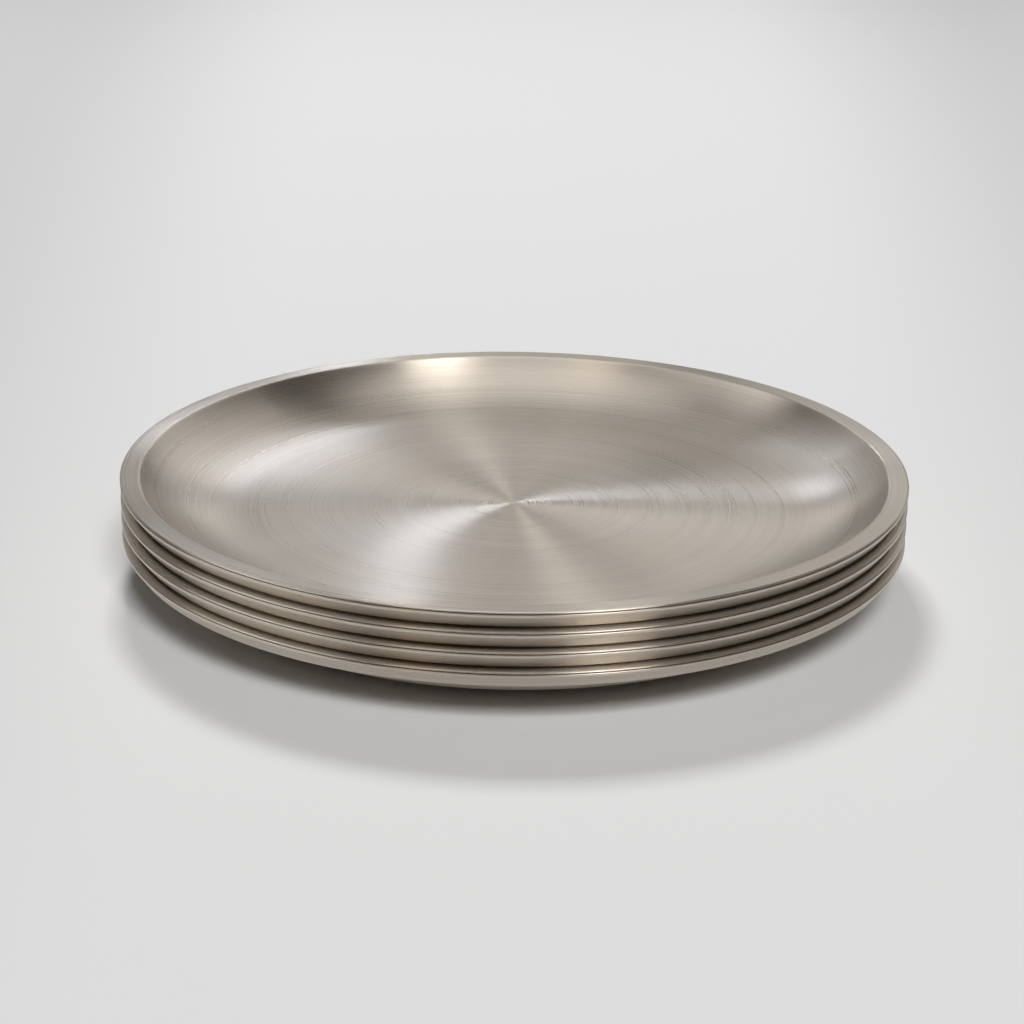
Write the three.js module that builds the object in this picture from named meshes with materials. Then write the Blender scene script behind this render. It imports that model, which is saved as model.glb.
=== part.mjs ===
// A stack of round double-walled steel dinner plates, nested one inside another.
// Each plate is two pressed sheets that meet in a seam under the rim. The dish has a flat floor, a curved
// wall and a narrow flat rim. The shell below it has a flat base, a curved wall, a knee, a steep collar
// and a flange whose edge is folded under. Millimetres, +Z up, origin at the middle of the stack's base.
import * as THREE from 'three';

// One plate
const plateRadius = 130;
const wellDepth = 14.5;
const bodyThickness = 5.9;
const sheetThickness = 0.6;
const floorRadius = 90;
const rimWidth = 5.8;
const rimBendRadius = 0.9;

// The shell, measured against the dish above it
const baseInset = 3.5;
const collarLength = 0.8;
const kneeRadius = 3;
const collarInset = 0.2;
const collarDraftDegrees = 16;
const flangeBendRadius = 0.3;
const hemWidth = 2.6;
const seamGap = 0.3;

// The stack, from the lowest plate up
const plateNames = ['bottom', 'second', 'third', 'top'];
const nestClearance = 0.3;

// Fineness of the faceted curves
const turnSteps = 48;
const coveSteps = 4;
const kneeSteps = 2;
const bendSteps = 2;
const edgeSteps = 2;
const hemSteps = 4;

// Satin stainless steel, slightly warm
const steelColour = 0xb4ada3;
const steelRoughness = 0.34;

const plateHeight = bodyThickness + wellDepth;
const rimInnerRadius = plateRadius - rimWidth;

// The dish's wall is one arc from the floor's edge that runs on into the bend of the rim
const dishBendRadius = rimBendRadius + sheetThickness;
const dishBendCentre = new THREE.Vector2(rimInnerRadius, plateHeight - dishBendRadius);
const wallRun = rimInnerRadius - floorRadius;
const wallRise = wellDepth - dishBendRadius;
const dishArcRadius = (wallRun ** 2 + wallRise ** 2 - dishBendRadius ** 2) / (2 * wellDepth);
const dishArcCentre = new THREE.Vector2(floorRadius, bodyThickness + dishArcRadius);
const dishTilt = Math.asin(wallRun / (dishArcRadius + dishBendRadius));

// The shell's collar and its bend into the flange
const draft = THREE.MathUtils.degToRad(collarDraftDegrees);
const collarUp = new THREE.Vector2(Math.sin(draft), Math.cos(draft));
const collarOut = new THREE.Vector2(Math.cos(draft), -Math.sin(draft));
const flangeHeight = plateHeight - sheetThickness - seamGap;
const collarTop = new THREE.Vector2(rimInnerRadius - collarInset, flangeHeight);
const shellBendRadius = flangeBendRadius + sheetThickness;
const shellBendCentre = new THREE.Vector2(
  collarTop.x + shellBendRadius * Math.tan(Math.PI / 4 - draft / 2),
  flangeHeight - shellBendRadius,
);

// The knee lies at the collar's foot, and the cove is the one arc from the base's edge that runs on into it
const kneeCentre = collarTop.clone()
  .addScaledVector(collarOut, -kneeRadius)
  .addScaledVector(collarUp, -collarLength);
const baseRadius = floorRadius - baseInset;
const kneeRun = kneeCentre.x - baseRadius;
const kneeRise = kneeCentre.y - sheetThickness;
const shellCoveRadius = (kneeRun ** 2 + kneeRise ** 2 - kneeRadius ** 2) / (2 * (kneeRise - kneeRadius));
const shellCoveCentre = new THREE.Vector2(baseRadius, sheetThickness + shellCoveRadius);
const kneeAngle = kneeCentre.clone().sub(shellCoveCentre).angle() - 2 * Math.PI;

// Points on an arc in the plane of radius and height
function arcPoints(centre, radius, fromAngle, toAngle, steps) {
  const points = [];
  for (let step = 0; step <= steps; step += 1) {
    const angle = fromAngle + ((toAngle - fromAngle) * step) / steps;
    points.push(new THREE.Vector2(
      centre.x + radius * Math.cos(angle),
      centre.y + radius * Math.sin(angle),
    ));
  }
  return points;
}

// The dish's section from the floor's edge to the rim, moved by a depth below the food side
function dishLine(depth) {
  const tilt = -Math.PI / 2 + dishTilt;
  const bendRadius = dishBendRadius - depth;
  const wall = arcPoints(dishArcCentre, dishArcRadius + depth, -Math.PI / 2, tilt, coveSteps);
  const bend = arcPoints(dishBendCentre, bendRadius, Math.PI / 2 + dishTilt, Math.PI / 2, bendSteps);
  return [...wall, ...bend.slice(1)];
}

// The shell's section from the base's edge to the flange, moved by a depth outwards
function shellLine(depth) {
  const bendRadius = Math.max(shellBendRadius - depth, 0);
  const cove = arcPoints(shellCoveCentre, shellCoveRadius + depth, -Math.PI / 2, kneeAngle, coveSteps);
  const knee = arcPoints(kneeCentre, kneeRadius + depth, kneeAngle, -draft, kneeSteps);
  const bend = arcPoints(shellBendCentre, bendRadius, Math.PI - draft, Math.PI / 2, bendSteps);
  return [...cove, ...knee.slice(1), ...bend];
}

// Height of a line of rising points at one radius
function heightAt(line, radius) {
  const next = line.findIndex((point) => point.x > radius);
  if (next === -1) return line[line.length - 1].y;
  if (next === 0) return line[0].y;
  const low = line[next - 1];
  const high = line[next];
  return low.y + ((high.y - low.y) * (radius - low.x)) / (high.x - low.x);
}

// How far each plate stands above the one below when its shell seats in that plate's dish
function nestPitch() {
  const seat = dishLine(0);
  const seated = shellLine(sheetThickness + nestClearance);
  const risesOverSeat = seat.map((point) => point.y - heightAt(seated, point.x));
  const risesUnderSeated = seated.map((point) => heightAt(seat, point.x) - point.y);
  return Math.max(...risesOverSeat, ...risesUnderSeated);
}

// The closed section of a dish, from the axis under its floor round to the axis on its floor
function dishSection() {
  const edgeRadius = sheetThickness / 2;
  const edgeCentre = new THREE.Vector2(plateRadius - edgeRadius, plateHeight - edgeRadius);
  return [
    new THREE.Vector2(0, bodyThickness - sheetThickness),
    ...dishLine(sheetThickness),
    ...arcPoints(edgeCentre, edgeRadius, -Math.PI / 2, Math.PI / 2, edgeSteps),
    ...dishLine(0).reverse(),
    new THREE.Vector2(0, bodyThickness),
  ];
}

// The closed section of a shell, from the axis under its base round to the axis inside
function shellSection() {
  const hemInnerRadius = plateRadius - hemWidth;
  const hemCentre = new THREE.Vector2(plateRadius - sheetThickness, flangeHeight - sheetThickness);
  return [
    new THREE.Vector2(0, 0),
    ...shellLine(sheetThickness),
    new THREE.Vector2(hemInnerRadius, flangeHeight - sheetThickness),
    new THREE.Vector2(hemInnerRadius, flangeHeight - 2 * sheetThickness),
    ...arcPoints(hemCentre, sheetThickness, -Math.PI / 2, Math.PI / 2, hemSteps),
    ...shellLine(0).reverse(),
    new THREE.Vector2(0, sheetThickness),
  ];
}

function turnSheet(name, section, baseHeight) {
  const geometry = new THREE.LatheGeometry(section, turnSteps);
  geometry.rotateX(Math.PI / 2);
  const steel = new THREE.MeshStandardMaterial({
    color: steelColour,
    metalness: 1,
    roughness: steelRoughness,
  });
  const sheet = new THREE.Mesh(geometry, steel);
  sheet.name = name;
  sheet.position.z = baseHeight;
  return sheet;
}

const plateStack = new THREE.Group();
const pitch = nestPitch();
plateNames.forEach((name, level) => {
  plateStack.add(turnSheet(`${name}_shell`, shellSection(), level * pitch));
  plateStack.add(turnSheet(`${name}_dish`, dishSection(), level * pitch));
});

export default plateStack;
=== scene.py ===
# Four nested double-walled dinner plates of spun and brushed stainless steel.
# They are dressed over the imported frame, in metres and in its own axes: the stack's axis is Z,
# and -Y is the side nearest the camera.
import math

import bpy
from mathutils import Matrix, Vector


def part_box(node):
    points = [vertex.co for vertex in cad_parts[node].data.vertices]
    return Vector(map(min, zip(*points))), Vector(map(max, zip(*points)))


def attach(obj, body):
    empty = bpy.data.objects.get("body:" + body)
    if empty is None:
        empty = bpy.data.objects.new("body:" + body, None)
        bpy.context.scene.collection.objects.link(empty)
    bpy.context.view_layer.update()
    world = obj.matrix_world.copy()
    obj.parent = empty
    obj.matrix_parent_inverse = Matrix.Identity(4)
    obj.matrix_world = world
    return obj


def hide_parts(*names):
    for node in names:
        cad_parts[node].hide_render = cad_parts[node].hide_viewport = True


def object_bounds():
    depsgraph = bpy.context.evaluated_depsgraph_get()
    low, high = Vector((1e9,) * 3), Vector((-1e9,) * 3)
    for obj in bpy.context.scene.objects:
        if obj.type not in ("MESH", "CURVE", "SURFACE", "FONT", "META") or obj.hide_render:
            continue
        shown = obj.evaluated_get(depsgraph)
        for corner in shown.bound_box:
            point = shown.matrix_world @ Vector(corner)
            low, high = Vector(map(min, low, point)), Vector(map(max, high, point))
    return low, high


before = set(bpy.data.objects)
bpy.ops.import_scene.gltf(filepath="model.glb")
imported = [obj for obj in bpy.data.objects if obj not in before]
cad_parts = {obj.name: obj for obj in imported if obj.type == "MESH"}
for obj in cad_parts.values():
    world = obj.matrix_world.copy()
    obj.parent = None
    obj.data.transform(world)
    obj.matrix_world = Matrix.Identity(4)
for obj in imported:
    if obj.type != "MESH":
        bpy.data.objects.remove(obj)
cadLow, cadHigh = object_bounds()
print("frame: loaded", len(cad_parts), "sheets")

mm = 0.001


# One node with its settings; an input takes a value or another node's socket
def addNode(tree, kind, settings=None, inputs=None):
    node = tree.nodes.new(kind)
    for name, value in (settings or {}).items():
        setattr(node, name, value)
    for name, value in (inputs or {}).items():
        if isinstance(value, bpy.types.NodeSocket):
            tree.links.new(value, node.inputs[name])
        else:
            node.inputs[name].default_value = value
    return node


# sRGB hex to the linear colour that Blender's sockets take
def hexColour(code):
    channels = [int(code[i:i + 2], 16) / 255 for i in (1, 3, 5)]
    linear = [c / 12.92 if c <= 0.04045 else ((c + 0.055) / 1.055) ** 2.4 for c in channels]
    return (*linear, 1.0)


# Brushed stainless

# 304 stainless, spun and then brushed in circles: a warm grey satin whose highlights open
# into fans across the grooves, with long fine rings, faint wider bands and faint warm stains.
steel = {
    "colour": "#DDD3C6",
    "shade": "#C8BEB1",         # in the deeper grooves
    "stain": "#C9B5A2",
    "roughness": 0.28,
    "roughnessSpread": 0.012,
    "anisotropy": 1.0,
    "ringSpacing": 0.6 * mm,    # real grit lines are near 0.05 mm; drawn coarser to show
    "ringBreaks": 0.25,         # higher makes shorter lines round the plate
    "ringDetail": 2.0,
    "bandSpacing": 6 * mm,
    "bandBreaks": 0.5,
    "bandDetail": 1.0,
    "bandShare": 0.25,          # of the grain; the rings have the rest
    "fineShare": 0.6,           # how much the finer octaves of the noise count
    "grainRange": (0.3, 0.7),
    "stainSize": 35 * mm,
    "stainDetail": 2.0,
    "stainRange": (0.5, 0.8),
    "stainShare": 0.3,
}


def brushedSteel():
    material = bpy.data.materials.new("brushedStainless304")
    material.use_nodes = True
    tree = material.node_tree
    tree.nodes.clear()
    brush = addNode(tree, "ShaderNodeUVMap", {"uv_map": "brush"})
    arc = addNode(tree, "ShaderNodeSeparateXYZ", inputs={0: brush.outputs[0]})
    seed = addNode(tree, "ShaderNodeAttribute", {"attribute_name": "plateSeed"})
    place = addNode(tree, "ShaderNodeTexCoord")
    flat = addNode(tree, "ShaderNodeVectorMath", {"operation": "MULTIPLY"}, {
        0: place.outputs["Object"], 1: (1, 1, 0)})
    around = addNode(tree, "ShaderNodeVectorMath", {"operation": "NORMALIZE"}, {
        0: flat.outputs[0]})

    # Noise that is short across the grooves and long round the plate
    def ringNoise(spacing, breaks, detail):
        across = addNode(tree, "ShaderNodeMath", {"operation": "DIVIDE"}, {
            0: arc.outputs[0], 1: spacing})
        along = addNode(tree, "ShaderNodeVectorMath", {"operation": "SCALE"}, {
            0: around.outputs[0], "Scale": breaks})
        split = addNode(tree, "ShaderNodeSeparateXYZ", inputs={0: along.outputs[0]})
        where = addNode(tree, "ShaderNodeCombineXYZ", inputs={
            0: across.outputs[0], 1: split.outputs[0], 2: split.outputs[1]})
        noise = addNode(tree, "ShaderNodeTexNoise", {"noise_dimensions": "4D"}, {
            "Vector": where.outputs[0], "W": seed.outputs["Fac"], "Scale": 1.0,
            "Detail": detail, "Roughness": steel["fineShare"]})
        return noise.outputs["Fac"]

    rings = ringNoise(steel["ringSpacing"], steel["ringBreaks"], steel["ringDetail"])
    bands = ringNoise(steel["bandSpacing"], steel["bandBreaks"], steel["bandDetail"])
    grain = addNode(tree, "ShaderNodeMix", {"data_type": "FLOAT"}, {
        0: steel["bandShare"], 2: rings, 3: bands})
    grainLow, grainHigh = steel["grainRange"]
    grainSpread = addNode(tree, "ShaderNodeMapRange", inputs={
        "Value": grain.outputs[0], "From Min": grainLow, "From Max": grainHigh})
    base = addNode(tree, "ShaderNodeMix", {"data_type": "RGBA"}, {
        0: grainSpread.outputs[0], 6: hexColour(steel["shade"]), 7: hexColour(steel["colour"])})

    # Cloudy warm stains over the grain
    stain = addNode(tree, "ShaderNodeTexNoise", {"noise_dimensions": "4D"}, {
        "Vector": place.outputs["Object"], "W": seed.outputs["Fac"],
        "Scale": 1 / steel["stainSize"], "Detail": steel["stainDetail"]})
    stainLow, stainHigh = steel["stainRange"]
    stainSpread = addNode(tree, "ShaderNodeMapRange", inputs={
        "Value": stain.outputs["Fac"], "From Min": stainLow, "From Max": stainHigh,
        "To Max": steel["stainShare"]})
    colour = addNode(tree, "ShaderNodeMix", {"data_type": "RGBA"}, {
        0: stainSpread.outputs[0], 6: base.outputs[2], 7: hexColour(steel["stain"])})

    roughness = addNode(tree, "ShaderNodeMapRange", inputs={
        "Value": grain.outputs[0], "From Min": grainLow, "From Max": grainHigh,
        "To Min": steel["roughness"] - steel["roughnessSpread"],
        "To Max": steel["roughness"] + steel["roughnessSpread"]})
    tangent = addNode(tree, "ShaderNodeTangent", {"direction_type": "UV_MAP", "uv_map": "brush"})
    metal = addNode(tree, "ShaderNodeBsdfPrincipled", inputs={
        "Base Color": colour.outputs[2], "Metallic": 1.0, "Roughness": roughness.outputs[0],
        "Anisotropic": steel["anisotropy"], "Tangent": tangent.outputs[0]})
    addNode(tree, "ShaderNodeOutputMaterial", inputs={"Surface": metal.outputs[0]})
    return material


steelMaterial = brushedSteel()
print("material:", steelMaterial.name)


# The plates: each is a dish over a shell, both turned from a half section

sheet = {
    "gauge": 0.6 * mm,
    "turnSteps": 480,
    "flatStep": 3 * mm,             # longest stretch between points where the section is straight
    "arcStep": math.radians(6),     # and where it bends tightly
    "wallSteps": 28,                # along a dish's wall
    "coveSteps": 24,                # along a shell's wall
    "weld": 0.001 * mm,
    "seedStep": 3.7,                # gives each plate its own grain
}


def arcPoints(centre, radius, start, end, steps=None):
    steps = steps or max(2, math.ceil(abs(end - start) / sheet["arcStep"]))
    angles = [start + (end - start) * i / steps for i in range(steps + 1)]
    return [centre + radius * Vector((math.cos(a), math.sin(a))) for a in angles]


# Adds points along straight stretches, so that shading stays even
def filled(points):
    line = [points[0]]
    for point in points[1:]:
        start = line[-1]
        gap = point - start
        count = max(1, math.ceil(gap.length / sheet["flatStep"]))
        line += [start + gap * i / count for i in range(1, count + 1)]
    return line


dish = {
    "floorRadius": 90 * mm,
    "rimWidth": 5.8 * mm,
    "rimBend": 0.9 * mm,
    "edgeRound": 0.15 * mm,     # lower corner of the edge
    "edgeSoft": 1.0 * mm,       # how far in from the edge the upper corner starts to fall
    "edgeSteps": 10,
}


# Dish: flat floor, one arc up to the bend of a flat rim, and an edge that falls off softly
def dishSection(radius, height):
    gauge, floor = sheet["gauge"], dish["floorRadius"]
    rimInner = radius - dish["rimWidth"]
    bend = dish["rimBend"] + gauge
    depth = height - gauge
    run, rise = rimInner - floor, depth - bend
    arc = (run ** 2 + rise ** 2 - bend ** 2) / (2 * depth)
    arcCentre = Vector((floor, gauge + arc))
    bendCentre = Vector((rimInner, height - bend))
    tilt = math.asin(run / (arc + bend))

    # From the floor's edge to the rim, at a drop below the food side
    def wall(drop):
        steps = sheet["wallSteps"]
        return (arcPoints(arcCentre, arc + drop, -math.pi / 2, tilt - math.pi / 2, steps)
                + arcPoints(bendCentre, bend - drop, math.pi / 2 + tilt, math.pi / 2)[1:])

    low, soft, steps = dish["edgeRound"], dish["edgeSoft"], dish["edgeSteps"]
    edge = arcPoints(Vector((radius - low, height - gauge + low)), low, -math.pi / 2, 0)
    for i in range(1, steps + 1):
        angle = math.pi / 2 * i / steps
        fall = (gauge - low) * (1 - math.sin(angle))
        edge.append(Vector((radius - soft * (1 - math.cos(angle)), height - fall)))
    return filled([Vector((0, 0))] + wall(gauge) + edge + wall(0)[::-1] + [Vector((0, gauge))])


shell = {
    "baseRadius": 86.5 * mm,
    "kneeRadius": 3 * mm,
    "collarLength": 0.8 * mm,
    "collarInset": 6.0 * mm,    # of the collar's top from the edge
    "collarDraft": math.radians(16),
    "flangeBend": 0.3 * mm,
    "edgeRound": 0.3 * mm,      # upper corner of the edge
    "edgeFace": 0.35 * mm,      # upright part below that corner
    "skirtBend": 0.6 * mm,
    "skirtTilt": math.radians(36),
    "skirtDrop": 4.5 * mm,      # of its foot below the flange
}


# Shell: flat base, cove, knee, steep collar, and a flange whose edge turns down in a leaning skirt
def shellSection(radius, height):
    gauge = sheet["gauge"]
    knee, draft = shell["kneeRadius"], shell["collarDraft"]
    collarUp = Vector((math.sin(draft), math.cos(draft)))
    collarOut = Vector((math.cos(draft), -math.sin(draft)))
    collarTop = Vector((radius - shell["collarInset"], height))
    bend = shell["flangeBend"] + gauge
    bendCentre = Vector((collarTop.x + bend * math.tan(math.pi / 4 - draft / 2), height - bend))
    kneeCentre = collarTop - collarOut * knee - collarUp * shell["collarLength"]
    run, rise = kneeCentre.x - shell["baseRadius"], kneeCentre.y - gauge
    cove = (run ** 2 + rise ** 2 - knee ** 2) / (2 * (rise - knee))
    coveCentre = Vector((shell["baseRadius"], gauge + cove))
    toKnee = kneeCentre - coveCentre
    kneeAngle = math.atan2(toKnee.y, toKnee.x)

    # From the base's edge to the flange, at a depth outside the inner face
    def wall(depth):
        return (arcPoints(coveCentre, cove + depth, -math.pi / 2, kneeAngle, sheet["coveSteps"])
                + arcPoints(kneeCentre, knee + depth, kneeAngle, -draft)[1:]
                + arcPoints(bendCentre, bend - depth, math.pi - draft, math.pi / 2))

    corner, turn, tilt = shell["edgeRound"], shell["skirtBend"], shell["skirtTilt"]
    turnCentre = Vector((radius - turn, height - corner - shell["edgeFace"]))
    skirtOut = Vector((math.cos(tilt), -math.sin(tilt)))
    skirtTop = turnCentre + turn * skirtOut
    skirtLength = (skirtTop.y - height + shell["skirtDrop"]) / math.cos(tilt)
    skirtFoot = skirtTop - skirtLength * Vector((math.sin(tilt), math.cos(tilt)))
    edge = ([Vector((radius - gauge, height - gauge)), skirtFoot - gauge * skirtOut]
            + arcPoints(skirtFoot - gauge / 2 * skirtOut, gauge / 2, -math.pi - tilt, -tilt)[1:]
            + arcPoints(turnCentre, turn, -tilt, 0)
            + arcPoints(Vector((radius - corner, height - corner)), corner, 0, math.pi / 2))
    return filled([Vector((0, 0))] + wall(gauge) + edge + wall(0)[::-1] + [Vector((0, gauge))])


# The section's points in the XZ plane, each with its distance along the section
def sectionMesh(points):
    mesh = bpy.data.meshes.new("halfSection")
    mesh.from_pydata([(p.x, 0, p.y) for p in points], [], [])
    arc = mesh.attributes.new("sectionArc", "FLOAT", "POINT")
    walked = 0.0
    for i, point in enumerate(points):
        walked += (point - points[i - 1]).length if i else 0.0
        arc.data[i].value = walked
    return mesh


# Turns a half section round Z, with a brush map: U along the section, V round the plate
def turnedSheetTree():
    tree = bpy.data.node_groups.new("turnedSheet", "GeometryNodeTree")
    for name, kind in (("Section", "Geometry"), ("Turn Steps", "Int"), ("Base Height", "Float"),
                       ("Weld", "Float"), ("Seed", "Float"), ("Steel", "Material")):
        tree.interface.new_socket(name, in_out="INPUT", socket_type="NodeSocket" + kind)
    tree.interface.new_socket("Sheet", in_out="OUTPUT", socket_type="NodeSocketGeometry")
    given = addNode(tree, "NodeGroupInput").outputs

    # A grid with a column for each turn step and a row for each point of the section
    size = addNode(tree, "GeometryNodeAttributeDomainSize", inputs={0: given["Section"]})
    rows = size.outputs["Point Count"]
    columns = addNode(tree, "ShaderNodeMath", {"operation": "ADD"}, {
        0: given["Turn Steps"], 1: 1.0})
    grid = addNode(tree, "GeometryNodeMeshGrid", inputs={
        "Vertices X": columns.outputs[0], "Vertices Y": rows})
    index = addNode(tree, "GeometryNodeInputIndex")
    row = addNode(tree, "ShaderNodeMath", {"operation": "FLOORED_MODULO"}, {
        0: index.outputs[0], 1: rows})
    share = addNode(tree, "ShaderNodeMath", {"operation": "DIVIDE"}, {
        0: index.outputs[0], 1: rows})
    column = addNode(tree, "ShaderNodeMath", {"operation": "FLOOR"}, {0: share.outputs[0]})
    part = addNode(tree, "ShaderNodeMath", {"operation": "DIVIDE"}, {
        0: column.outputs[0], 1: given["Turn Steps"]})
    angle = addNode(tree, "ShaderNodeMath", {"operation": "MULTIPLY"}, {
        0: part.outputs[0], 1: math.tau})

    # Each grid point goes to its section point, turned by its column's angle
    place = addNode(tree, "GeometryNodeInputPosition")
    point = addNode(tree, "GeometryNodeSampleIndex", {"data_type": "FLOAT_VECTOR"}, {
        "Geometry": given["Section"], "Value": place.outputs[0], "Index": row.outputs[0]})
    split = addNode(tree, "ShaderNodeSeparateXYZ", inputs={0: point.outputs[0]})
    cosine = addNode(tree, "ShaderNodeMath", {"operation": "COSINE"}, {0: angle.outputs[0]})
    sine = addNode(tree, "ShaderNodeMath", {"operation": "SINE"}, {0: angle.outputs[0]})
    x = addNode(tree, "ShaderNodeMath", {"operation": "MULTIPLY"}, {
        0: split.outputs[0], 1: cosine.outputs[0]})
    y = addNode(tree, "ShaderNodeMath", {"operation": "MULTIPLY"}, {
        0: split.outputs[0], 1: sine.outputs[0]})
    z = addNode(tree, "ShaderNodeMath", {"operation": "ADD"}, {
        0: split.outputs[2], 1: given["Base Height"]})
    turned = addNode(tree, "ShaderNodeCombineXYZ", inputs={
        0: x.outputs[0], 1: y.outputs[0], 2: z.outputs[0]})

    # The arc and the seed are stored before the points move, the brush map after
    sectionArc = addNode(tree, "GeometryNodeInputNamedAttribute", {"data_type": "FLOAT"}, {
        "Name": "sectionArc"})
    arc = addNode(tree, "GeometryNodeSampleIndex", {"data_type": "FLOAT"}, {
        "Geometry": given["Section"], "Value": sectionArc.outputs[0], "Index": row.outputs[0]})
    onPoints = {"data_type": "FLOAT", "domain": "POINT"}
    onCorners = {"data_type": "FLOAT2", "domain": "CORNER"}
    arcStored = addNode(tree, "GeometryNodeStoreNamedAttribute", onPoints, {
        "Geometry": grid.outputs["Mesh"], "Name": "plateArc", "Value": arc.outputs[0]})
    seeded = addNode(tree, "GeometryNodeStoreNamedAttribute", onPoints, {
        "Geometry": arcStored.outputs[0], "Name": "plateSeed", "Value": given["Seed"]})
    shaped = addNode(tree, "GeometryNodeSetPosition", inputs={
        "Geometry": seeded.outputs[0], "Position": turned.outputs[0]})
    plateArc = addNode(tree, "GeometryNodeInputNamedAttribute", {"data_type": "FLOAT"}, {
        "Name": "plateArc"})
    gridMap = addNode(tree, "ShaderNodeSeparateXYZ", inputs={0: grid.outputs["UV Map"]})
    brush = addNode(tree, "ShaderNodeCombineXYZ", inputs={
        0: plateArc.outputs[0], 1: gridMap.outputs[0]})
    mapped = addNode(tree, "GeometryNodeStoreNamedAttribute", onCorners, {
        "Geometry": shaped.outputs[0], "Name": "brush", "Value": brush.outputs[0]})

    # Welds the seam and the two poles
    closed = addNode(tree, "GeometryNodeMergeByDistance", inputs={
        "Geometry": mapped.outputs[0], "Distance": given["Weld"]})
    smooth = addNode(tree, "GeometryNodeSetShadeSmooth", inputs={"Geometry": closed.outputs[0]})
    real = addNode(tree, "GeometryNodeRealizeInstances", inputs={0: smooth.outputs[0]})
    finished = addNode(tree, "GeometryNodeSetMaterial", inputs={
        "Geometry": real.outputs[0], "Material": given["Steel"]})
    addNode(tree, "NodeGroupOutput", inputs={0: finished.outputs[0]})
    return tree


# Runs the tree on a section and keeps the result as a plain mesh
def turnSheet(name, tree, section, settings):
    maker = bpy.data.objects.new(name + "Section", section)
    bpy.context.scene.collection.objects.link(maker)
    modifier = maker.modifiers.new("turn", "NODES")
    modifier.node_group = tree
    for socket in tree.interface.items_tree:
        if socket.in_out == "INPUT" and socket.name in settings:
            modifier[socket.identifier] = settings[socket.name]
    depsgraph = bpy.context.evaluated_depsgraph_get()
    mesh = bpy.data.meshes.new_from_object(maker.evaluated_get(depsgraph), depsgraph=depsgraph)
    maker.modifiers.remove(modifier)
    bpy.data.objects.remove(maker)
    mesh.name = name
    piece = bpy.data.objects.new(name, mesh)
    bpy.context.scene.collection.objects.link(piece)
    return piece


turnedSheet = turnedSheetTree()
for level, plateName in enumerate(("bottom", "second", "third", "top")):
    for kind, makeSection in (("shell", shellSection), ("dish", dishSection)):
        node = plateName + "_" + kind
        low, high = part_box(node)
        section = sectionMesh(makeSection(high.x, high.z - low.z))
        piece = turnSheet(plateName + kind.capitalize(), turnedSheet, section, {
            "Turn Steps": sheet["turnSteps"], "Base Height": low.z, "Weld": sheet["weld"],
            "Seed": sheet["seedStep"] * level, "Steel": steelMaterial})
        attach(piece, plateName + "_plate")
        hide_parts(node)
        print("sheet:", piece.name, len(piece.data.polygons), "faces")


# The floor

# Uncoated paper from a roll: pale and matte, with a painted pool of light down the middle that
# fades to painted shade at the sides
paperFloor = {
    # the paper's tone inside the painted pool of light, then the painted shade at the sides
    "colour": "#E2E2E2",
    "paintedShadeColour": "#CECECE",
    "roughness": 0.9,
    "specular": 0.1,
    "size": 30.0,
    "paintedPoolMiddle": 0.01,         # of the painted pool of light, along X
    "paintedPoolHalf": 0.2,            # its half width at the stack
    "paintedPoolFlare": 0.05,          # how much wider it gets with each metre along +Y
    "paintedPoolLeast": 0.08,
    "paintedPoolFade": (0.55, 1.45),   # where it fades out, in half widths
}


def mattePaper():
    material = bpy.data.materials.new("paperSweepPaintedPool")
    material.use_nodes = True
    tree = material.node_tree
    tree.nodes.clear()
    place = addNode(tree, "ShaderNodeTexCoord")
    split = addNode(tree, "ShaderNodeSeparateXYZ", inputs={0: place.outputs["Object"]})
    # Painted pool of light: a strip down the middle, wider along +Y, that fades to painted shade
    # at the sides
    offset = addNode(tree, "ShaderNodeMath", {"operation": "SUBTRACT"}, {
        0: split.outputs[0], 1: paperFloor["paintedPoolMiddle"]})
    side = addNode(tree, "ShaderNodeMath", {"operation": "ABSOLUTE"}, {0: offset.outputs[0]})
    flared = addNode(tree, "ShaderNodeMath", {"operation": "MULTIPLY_ADD"}, {
        0: split.outputs[1], 1: paperFloor["paintedPoolFlare"], 2: paperFloor["paintedPoolHalf"]})
    half = addNode(tree, "ShaderNodeMath", {"operation": "MAXIMUM"}, {
        0: flared.outputs[0], 1: paperFloor["paintedPoolLeast"]})
    share = addNode(tree, "ShaderNodeMath", {"operation": "DIVIDE"}, {
        0: side.outputs[0], 1: half.outputs[0]})
    fadeStart, fadeEnd = paperFloor["paintedPoolFade"]
    fade = addNode(tree, "ShaderNodeMapRange", {"interpolation_type": "SMOOTHSTEP"}, {
        "Value": share.outputs[0], "From Min": fadeStart, "From Max": fadeEnd})
    paintedPoolTone = addNode(tree, "ShaderNodeMix", {"data_type": "RGBA"}, {
        0: fade.outputs[0], 6: hexColour(paperFloor["colour"]),
        7: hexColour(paperFloor["paintedShadeColour"])})
    paper = addNode(tree, "ShaderNodeBsdfPrincipled", inputs={
        "Base Color": paintedPoolTone.outputs[2], "Roughness": paperFloor["roughness"],
        "Specular IOR Level": paperFloor["specular"]})
    addNode(tree, "ShaderNodeOutputMaterial", inputs={"Surface": paper.outputs[0]})
    return material


def addFloor():
    reach = paperFloor["size"] / 2
    mesh = bpy.data.meshes.new("studioFloor")
    corners = [(-reach, -reach, 0), (reach, -reach, 0), (reach, reach, 0), (-reach, reach, 0)]
    mesh.from_pydata(corners, [], [(0, 1, 2, 3)])
    mesh.materials.append(mattePaper())
    floor = bpy.data.objects.new("studioFloor", mesh)
    bpy.context.scene.collection.objects.link(floor)


addFloor()
print("floor: laid")


# The light

studio = {
    "worldColour": "#FFFDFA",
    "worldStrength": 0.09,
    "lampDistance": 2.5,
    "lampColour": "#FFFFFF",
}

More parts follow.
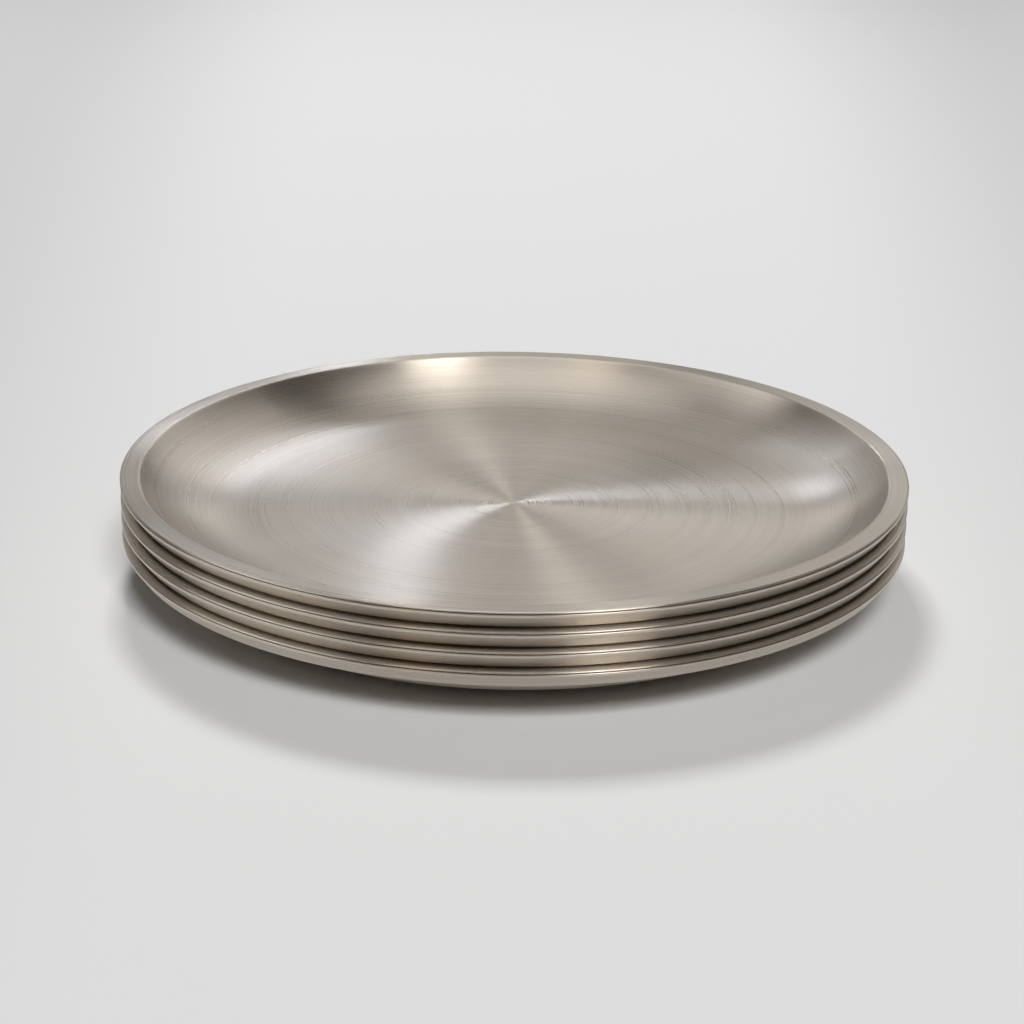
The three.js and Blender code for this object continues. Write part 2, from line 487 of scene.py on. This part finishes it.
# Lamps by where they stand round the stack, in degrees: azimuth from +Y towards +X, elevation
# above the floor, and span as the width and height that the stack sees.
# The keys light the floor and cast the shadows, and the steel doesn't mirror them.
keyLamps = {
    "frontKey": {"azimuth": 168, "elevation": 45, "span": (17, 17), "radiance": 25.8,
                 "distance": 6.0},
    "backKey": {"azimuth": -8, "elevation": 54, "span": (12, 12), "radiance": 34.0},
}

# The softboxes and strips that the steel mirrors, which leave the floor alone
mirrorLamps = {
    "backStrip": {"azimuth": -4.3, "elevation": 24.6, "span": (1.5, 4.2), "radiance": 17.5,
                  "lean": 13, "colour": "#E6EFFF"},
    "backSoftbox": {"azimuth": 6, "elevation": 31, "span": (17, 19), "radiance": 0.45},
    "backLow": {"azimuth": -1.2, "elevation": 15.5, "span": (11, 8), "radiance": 1.05},
    "leftBackStrip": {"azimuth": -17.5, "elevation": 33.7, "span": (5.5, 15), "radiance": 1.95,
                      "lean": 25, "colour": "#E6EFFF"},
    "leftBackSoftbox": {"azimuth": -25, "elevation": 32, "span": (34, 55), "radiance": 0.27},
    "leftSoftbox": {"azimuth": -97, "elevation": 39, "span": (49, 29), "radiance": 1.45},
    "rightSoftbox": {"azimuth": 26, "elevation": 31, "span": (37, 39), "radiance": 0.53},
    "frontSoftbox": {"azimuth": 156, "elevation": 45, "span": (11, 24), "radiance": 3.5},
    "frontGlint": {"azimuth": 145, "elevation": 46, "span": (14, 24), "radiance": 5.5},
    "leftGlint": {"azimuth": -147, "elevation": 46, "span": (14, 24), "radiance": 1.0,
                  "colour": "#FFE6D2"},
    "overhead": {"azimuth": 0, "elevation": 90, "span": (42, 56), "radiance": 1.12},
}


def addWorld():
    world = bpy.data.worlds.new("studioWorld")
    world.use_nodes = True
    background = world.node_tree.nodes["Background"]
    background.inputs["Color"].default_value = hexColour(studio["worldColour"])
    background.inputs["Strength"].default_value = studio["worldStrength"]
    bpy.context.scene.world = world


def addLamp(name, lamp, mirrored):
    azimuth, elevation = math.radians(lamp["azimuth"]), math.radians(lamp["elevation"])
    towards = Vector((math.sin(azimuth) * math.cos(elevation),
                      math.cos(azimuth) * math.cos(elevation), math.sin(elevation)))
    distance = lamp.get("distance", studio["lampDistance"])
    light = bpy.data.lights.new(name, "AREA")
    light.shape = "RECTANGLE"
    light.size, light.size_y = (2 * distance * math.tan(math.radians(s) / 2) for s in lamp["span"])
    light.energy = lamp["radiance"] * math.pi * light.size * light.size_y
    light.color = hexColour(lamp.get("colour", studio["lampColour"]))[:3]
    holder = bpy.data.objects.new(name, light)
    holder.visible_glossy = mirrored
    holder.visible_diffuse = not mirrored
    holder.location = Vector((0, 0, cadHigh.z / 2)) + towards * distance
    lean = Matrix.Rotation(math.radians(lamp.get("lean", 0)), 3, "Z")
    holder.rotation_euler = ((-towards).to_track_quat("-Z", "Y").to_matrix() @ lean).to_euler()
    bpy.context.scene.collection.objects.link(holder)


addWorld()
for lamps, mirrored in ((keyLamps, False), (mirrorLamps, True)):
    for name, lamp in lamps.items():
        addLamp(name, lamp, mirrored)
print("light:", len(keyLamps), "keys and", len(mirrorLamps), "mirrored lamps")


# The camera, from a pinhole fit to the rims and the base line

view = {
    "imageWidth": 1024,
    "focalPixels": 2383.6,
    "sensorWidth": 36.0,        # millimetres
    "back": 750.8 * mm,
    "height": 298.55 * mm,
    "pitch": math.radians(20.278),
    "yaw": math.radians(-0.049),
    "roll": math.radians(0.72),
    "clip": (0.01, 50.0),
}


def addCamera():
    data = bpy.data.cameras.new("photoCamera")
    data.sensor_fit = "HORIZONTAL"
    data.sensor_width = view["sensorWidth"]
    data.lens = view["focalPixels"] / view["imageWidth"] * view["sensorWidth"]
    data.clip_start, data.clip_end = view["clip"]
    camera = bpy.data.objects.new("photoCamera", data)
    turn = (Matrix.Rotation(-view["yaw"], 4, "Z")
            @ Matrix.Rotation(math.pi / 2 - view["pitch"], 4, "X")
            @ Matrix.Rotation(view["roll"], 4, "Z"))
    camera.matrix_world = Matrix.Translation((0, -view["back"], view["height"])) @ turn
    bpy.context.scene.collection.objects.link(camera)
    bpy.context.scene.camera = camera


addCamera()
bpy.context.scene.view_settings.view_transform = "Standard"
print("camera: set")
